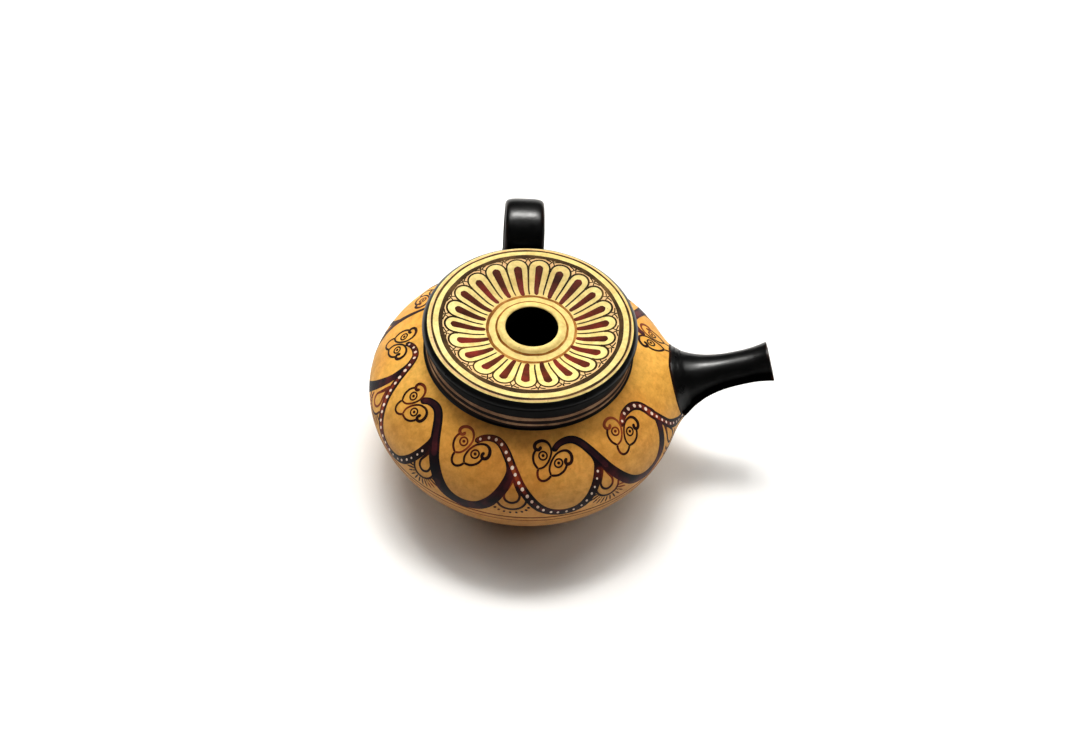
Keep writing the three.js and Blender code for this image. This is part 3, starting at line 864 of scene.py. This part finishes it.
# Half of a head, in millimetres from the middle between its eyes: x towards one eye, y towards the neck
LOBE = [(2.5, -4.9), (1.15, -3.5), (0.55, -1.6), (0.5, 0.5), (1.0, 2.6), (2.3, 4.2), (3.9, 4.9), (5.6, 4.5),
        (6.8, 3.2), (7.05, 1.8), (6.3, 0.9), (5.3, 1.05), (4.9, 1.9), (5.15, 2.6)]
CHEEK = [(2.5, -4.9), (4.5, -3.9), (5.75, -2.2), (6.1, -0.6), (5.95, 0.75)]
MUZZLE = [(-2.5, -4.9), (-2.15, -6.3), (-1.25, -7.6), (0.0, -8.1), (1.25, -7.6), (2.15, -6.3), (2.5, -4.9)]
EYE = 3.0


def on_shoulder(angle, tilt, points):
    """Points of a flat figure, laid on the shoulder where a head goes and turned by a tilt."""
    c, t = HEAD_SCALE * cos(tilt), HEAD_SCALE * sin(tilt)
    out = []
    for x, y in points:
        down = HEAD_AT - (t * x + c * y)
        out.append((angle + (c * x - t * y) / BELLY.ring(down)[0], down))
    return out


def make_head(film, angle, tilt, rust):
    """A head from above. One of its lobes may be drawn in thin, rust-coloured paint."""
    for side in (-1, 1):
        for points, width in ((LOBE, lambda t: 0.66 + 0.44 * smooth((t - 0.4) / 0.35)), (CHEEK, lambda t: 0.74)):
            flat = spline([(side * x, y) for x, y in points], 8)
            path = even(BELLY, on_shoulder(angle, tilt, flat), 0.35)
            paint = rust if rust and side < 0 and points is LOBE else film
            paint.brush(path, width, 0.075)
        eye = [(side * EYE + 1.4 * cos(a), 1.45 * sin(a)) for a in turns(28)]
        film.stroke(on_shoulder(angle, tilt, eye), 0.55, 0.07, closed=True)
        pupil = on_shoulder(angle, tilt, [(side * EYE, 0.05)])[0]
        film.dot(*pupil, 1.05, 0.07)
    film.brush(even(BELLY, on_shoulder(angle, tilt, spline(MUZZLE, 6)), 0.35), 0.76, 0.072)


def make_pendant(film, angle, scale, down, fringe):
    """Drop that hangs in the fork of two bodies, with a bow below it and a fringe of dots or rays."""
    drop = [(0.0, 16.2), (0.7, 18.4), (1.6, 20.7), (2.55, 22.9), (2.0, 24.9), (0.0, 25.8)]
    drop += [(-x, s) for x, s in reversed(drop[1:-1])]
    to_path = lambda pts: [(angle + x * scale / BELLY.ring(s + down)[0], s + down) for x, s in pts]
    path = even(BELLY, to_path(spline(drop + drop[:1], 6)), 0.35)[:-1]
    widths = [lerp(1.5, 0.8, smooth((s - down - 17) / 6)) for _, s in path]
    film.stroke(path, widths, 0.04, closed=True)
    bow = [(4.9 * cos(a), lerp(24.4, 28.6, sin(a))) for a in spaced(0, pi, 16)]
    film.brush(even(BELLY, to_path(bow), 0.35), 0.8, 0.035)
    wide, top, bottom, size, long, count = fringe
    for i in range(count):
        a = pi * (i + 0.5) / count
        spot = to_path([(wide * cos(a), lerp(top, bottom, sin(a)))])[0]
        film.dot(*spot, size, 0.03, long=long, lean=a - pi / 2)


def gap_after(k):
    """Degrees from a serpent's head to the next."""
    return (SERPENTS[(k + 1) % len(SERPENTS)][0] - SERPENTS[k % len(SERPENTS)][0]) % 360


def stretch(k):
    """A serpent's length round the belly, as a share of the usual one."""
    return 1.0 if gap_after(k) > SPOUT_GAP else gap_after(k) / PITCH


def serpent_path(k):
    """Middle of a serpent's body. Past the next head it keeps to the next serpent's length."""
    head, gap = SERPENTS[k][0], gap_after(k)
    route = [(head + d, s) for d, s in SPOUT_ROUTE] if gap > SPOUT_GAP else [
        (head + (d * stretch(k) if d < PITCH else gap + (d - PITCH) * stretch(k + 1)), s) for d, s in ROUTE]
    shares = spaced(0, 1, len(route) - 1)
    if k == LOW_LOOP:
        route = [(d - 4 * sin(pi * t), s + 3 * sin(pi * t) ** 2 * smooth((t - 0.4) / 0.2)
                  - 1.7 * smooth((t - 0.75) / 0.15)) for (d, s), t in zip(route, shares)]
    if k == HIGH_NECK:
        route = [(d, s - 1.8 * sin(pi * min(t / 0.4, 1))) for (d, s), t in zip(route, shares)]
    path = even(BELLY, spline([(radians(d), s) for d, s in route], 8), 0.5)
    return path[:round(SHORT_SHARE * len(path))] if k == SHORT else path


def plain_serpent(k, path, tail, band, core):
    """A broad dark body with painted sheen in purple along its neck."""
    neck, whole = (SLIM_NECK if k == LOW_LOOP else 1.0), (0.82 if k == NARROW else 0.96)

    def width(t):
        full = 2.5 + 0.7 * smooth(t / 0.15) + 1.15 * smooth(t / 0.5)
        return whole * tail(t) * (lerp(neck, 1, smooth(t / 0.45)) * full - 1.1 * smooth((t - 0.6) / 0.3))

    band.brush(path, width, 0.062, across=5)
    # Painted sheen: a purple core along the neck.
    core.brush(path[2:round(0.32 * len(path))], lambda t: 0.62 * neck * whole * lerp(2.7, 3.4, t), 0.08, across=3)


def dotted_serpent(path, tail, by_spout, band, core, dots):
    """A slender dark body with a red core and a row of white dots."""
    band.brush(path, lambda t: (2.75 + 0.45 * sin(pi * t)) * tail(t) * lerp(0.72, 1, smooth(t / 0.2)),
               0.05, across=4)
    drawn = round((0.92 if by_spout else 0.5) * len(path))
    core.brush(path[2:drawn], lambda t: lerp(2.1, 1.2, smooth(t / 0.7)), 0.085)
    total, want = along(BELLY, path), 1.7
    for i, d in enumerate(total):
        share = d / total[-1]
        if d >= want and share < (0.98 if by_spout else 0.87):
            size = lerp(1.12, 0.78, smooth((share - 0.35) / 0.35)) * lerp(0.75, 1, smooth(share / 0.2))
            dots.dot(*path[i], size + 0.08 * sin(3.1 * i), 0.12, long=1.2)
            want = d + 2.4 + 0.25 * sin(1.7 * i)


def make_frieze():
    plain, purple_sheen, dotted, maroon, white, line, thin, low, rust = (Film(BELLY) for _ in range(9))
    for k, (head, tilt) in enumerate(SERPENTS):
        by_spout, path = gap_after(k) > SPOUT_GAP, serpent_path(k)
        make_head(line, radians(head), radians(tilt), rust if k in RUSTY else None)
        hung = radians(head + 19.3 * stretch(k) + DROP_SHIFTS.get(k, DROP_SHIFT))
        make_pendant(thin, hung, stretch(k) * (1.02 if k == WIDE_DROP else 0.9), 4.0 if by_spout else 0.0,
                     RAYS if k in RAYED else DOTS)
        tail = (lambda t: 1.0) if by_spout else (lambda t: 1 - 0.35 * smooth((t - 0.8) / 0.2))
        if k % 2 == 0:
            plain_serpent(k, path, tail, plain, purple_sheen)
            continue
        dotted_serpent(path, tail, by_spout, dotted, maroon, white)
        if k in RUSTY and not by_spout:
            neck = path[1:round(0.3 * len(path))]
            rust.brush(neck, lambda t: 1.9 * (1 - 0.6 * smooth((t - 0.6) / 0.4)), 0.095)
    low.band(33.2, 33.85, 0.03)
    low.band(35.7, 36.1, 0.03)
    plain.done("serpents_plain", PLAIN, "dark_paint")
    purple_sheen.done("serpents_plain_neck_sheen", PURPLE_SHEEN, "dark_paint")
    dotted.done("serpents_dotted", DOTTED, "dark_paint")
    maroon.done("serpents_dotted_middle", MAROON, "red_paint")
    white.done("serpent_dots", WHITE, "white_paint")
    line.done("serpent_heads", LINE, "dark_paint")
    rust.done("serpents_rust", RUST, "red_paint")
    thin.done("pendants", LINE, "dark_paint")
    low.done("low_rings", RED, "red_paint")


# Stage: pale floor under soft lamps. Each lamp is its azimuth, elevation and spread in degrees, and the light that it
# gives the floor. The keys stand high behind the flask and show in its gloss, and the fills only lighten it.
# A backdrop that only the camera sees closes low views.
KEYS = [(75, 68, 12, 0.2), (105, 68, 12, 0.2), (135, 65, 24, 0.12), (45, 65, 24, 0.12)]
FILLS = [(45, 40, 24, 0.14), (120, 55, 12, 0.1), (135, 15, 24, 0.08), (95, 55, 12, 0.07), (90, 15, 24, 0.06),
         (0, 40, 24, 0.06), (0, 90, 24, 0.04), (270, 65, 24, 0.04), (45, 15, 24, 0.02)]
FLOOR_SIZE, BACKDROP_AT = 3000, 2900
# Strength of a lamp straight above that gives the floor all its light
FULL_LIGHT = pi / 0.83


def make_floor():
    sh = Shader("floor")
    tone = sh.ramp(sh.noise(3, 2), (0.3, (0.87, 0.87, 0.87)), (0.7, (0.9, 0.9, 0.9)))
    sh.finish(tone, 0.9, specular=0.1)
    corners = [(x * FLOOR_SIZE, y * FLOOR_SIZE, 0) for x, y in ((-1, -1), (1, -1), (1, 1), (-1, 1))]
    floor = to_object("floor", corners, [(0, 1, 2, 3)], [sh.material])


def make_backdrop():
    sh = Shader("backdrop")
    sh.finish((0.0, 0.0, 0.0, 1.0), 1.0, specular=0.0)
    sh.set(sh.surface["Emission Color"], (1.0, 1.0, 1.0, 1.0))
    sh.set(sh.surface["Emission Strength"], 1.0)
    sides, far = 64, BACKDROP_AT
    verts = [(far * cos(a), far * sin(a), z) for z in (0, far) for a in turns(sides)]
    backdrop = to_object("backdrop", verts, between(0, sides, sides), [sh.material])
    backdrop.visible_shadow = backdrop.visible_diffuse = backdrop.visible_glossy = False


def make_lamps():
    world = bpy.data.worlds.new("studio")
    world.use_nodes = True
    sky = world.node_tree.nodes["Background"].inputs
    sky["Color"].default_value = (1.0, 0.99, 0.97, 1)
    sky["Strength"].default_value = 0.02
    scene = bpy.context.scene
    scene.world = world
    scene.view_settings.view_transform, scene.view_settings.gamma = "Standard", 0.86
    for i, (azimuth, elevation, spread, share) in enumerate(KEYS + FILLS):
        turn, rise = radians(azimuth), radians(elevation)
        towards = Vector((cos(rise) * cos(turn), cos(rise) * sin(turn), sin(rise)))
        lamp = bpy.data.lights.new(f"lamp_{i}", "SUN")
        lamp.energy, lamp.angle = share * FULL_LIGHT / sin(rise), radians(spread)
        lamp.color = (1.0, 0.99, 0.965)
        holder = placed(f"lamp_{i}", lamp)
        holder.rotation_euler = towards.to_track_quat("Z", "Y").to_euler()
        holder.visible_glossy = i < len(KEYS)


def make_camera():
    """The photograph's view: the rim's middle shows at a pixel of the 1080 by 754 frame."""
    azimuth, elevation, roll, distance = radians(-6.5), radians(47.9), radians(4.6), 507.6
    aim, pixel, width, height = Vector((0, 0, 66.6)), (530.8, 321.7), 1080, 754
    half_view = radians(20)
    flat = cos(elevation)
    back = Vector((sin(azimuth) * flat, -cos(azimuth) * flat, sin(elevation)))
    level = Vector((0, 0, 1)).cross(back).normalized()
    rise = back.cross(level)
    right = cos(roll) * level + sin(roll) * rise
    up = cos(roll) * rise - sin(roll) * level
    axes = Matrix((right, up, back)).transposed()
    focal = width / 2 / tan(half_view)
    seen = Vector(((pixel[0] - width / 2) / focal, (height / 2 - pixel[1]) / focal, -1)).normalized()
    swing = Vector((0, 0, -1)).rotation_difference(seen).to_matrix()
    lens = bpy.data.cameras.new("camera")
    lens.sensor_fit, lens.sensor_width, lens.angle = "HORIZONTAL", 36, 2 * half_view
    lens.clip_start, lens.clip_end = 0.01, 20
    camera = placed("camera", lens)
    camera.matrix_world = Matrix.Translation((aim + back * distance) * MM) @ (axes @ swing.transposed()).to_4x4()
    bpy.context.scene.camera = camera


make_body()
make_foot()
make_mouth()
make_spout()
make_slip_edges(make_handle())
make_rosette()
make_frieze()
make_floor()
make_backdrop()
make_lamps()
make_camera()
